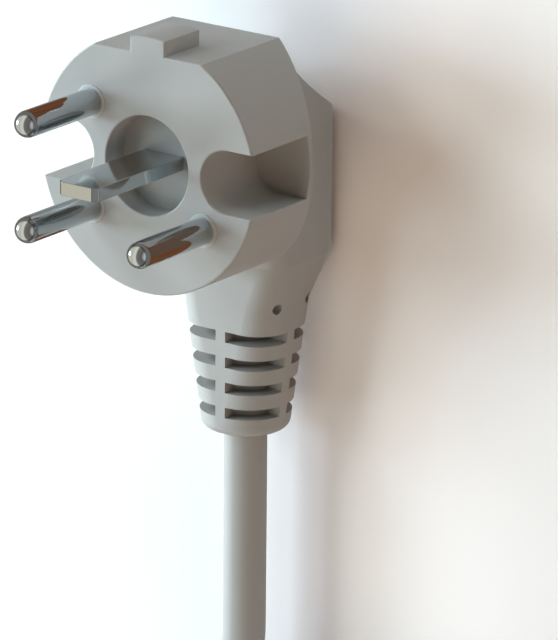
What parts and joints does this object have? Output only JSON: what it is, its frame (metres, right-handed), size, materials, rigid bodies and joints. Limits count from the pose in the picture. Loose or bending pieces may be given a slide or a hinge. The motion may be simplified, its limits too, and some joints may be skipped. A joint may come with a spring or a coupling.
{
  "type": "moulded plug with lead",
  "caption": "Round overmoulded mains plug with round pins, a flat earth blade in a centre recess, side notches, a slotted strain relief and a coiled lead.",
  "frame": {"origin": "on the disc's axis, in the flat back of the housing on which the plug lies", "axes": "+Z out of the plug's face along the pins, +Y up the face towards the key, -Y along the lead, +X to the right seen from the front"},
  "size_m": [0.0941, 0.2194, 0.0611],
  "materials": {
    "body_plastic": "grey overmoulded plastic, smooth and satin",
    "carrier_plastic": "light grey hard plastic, satin",
    "plated_brass": "nickel plated, bright polished",
    "bare_brass": "bare stamped brass",
    "brown_insulation": "brown core insulation",
    "black_insulation": "black core insulation",
    "blue_insulation": "blue core insulation",
    "green_yellow_insulation": "green and yellow striped core insulation",
    "copper": "bare stranded copper",
    "lead_sheath": "grey flexible sheath, satin",
    "tie_nylon": "natural white nylon",
    "tinned_strand": "tinned copper strand ends"
  },
  "bodies": {
    "root": {"moulded_body": "body_plastic", "pin_carrier": "carrier_plastic", "pin_upper_left": "plated_brass", "pin_lower_left": "plated_brass", "pin_lower_right": "plated_brass", "earth_blade": "plated_brass", "earth_tag": "bare_brass", "earth_rivet": "bare_brass", "brown_core": "brown_insulation", "black_core": "black_insulation", "blue_core": "blue_insulation", "green_yellow_core": "green_yellow_insulation", "brown_conductor": "copper", "black_conductor": "copper", "blue_conductor": "copper", "green_yellow_conductor": "copper", "sheath_end": "lead_sheath", "cord_run": "lead_sheath", "cord_coil": "lead_sheath", "cable_tie": "tie_nylon", "end_core_brown": "brown_insulation", "end_core_black": "black_insulation", "end_core_blue": "blue_insulation", "end_core_green_yellow": "green_yellow_insulation", "end_strand_brown": "tinned_strand", "end_strand_black": "tinned_strand", "end_strand_blue": "tinned_strand", "end_strand_green_yellow": "tinned_strand"}
  },
  "joints": []
}
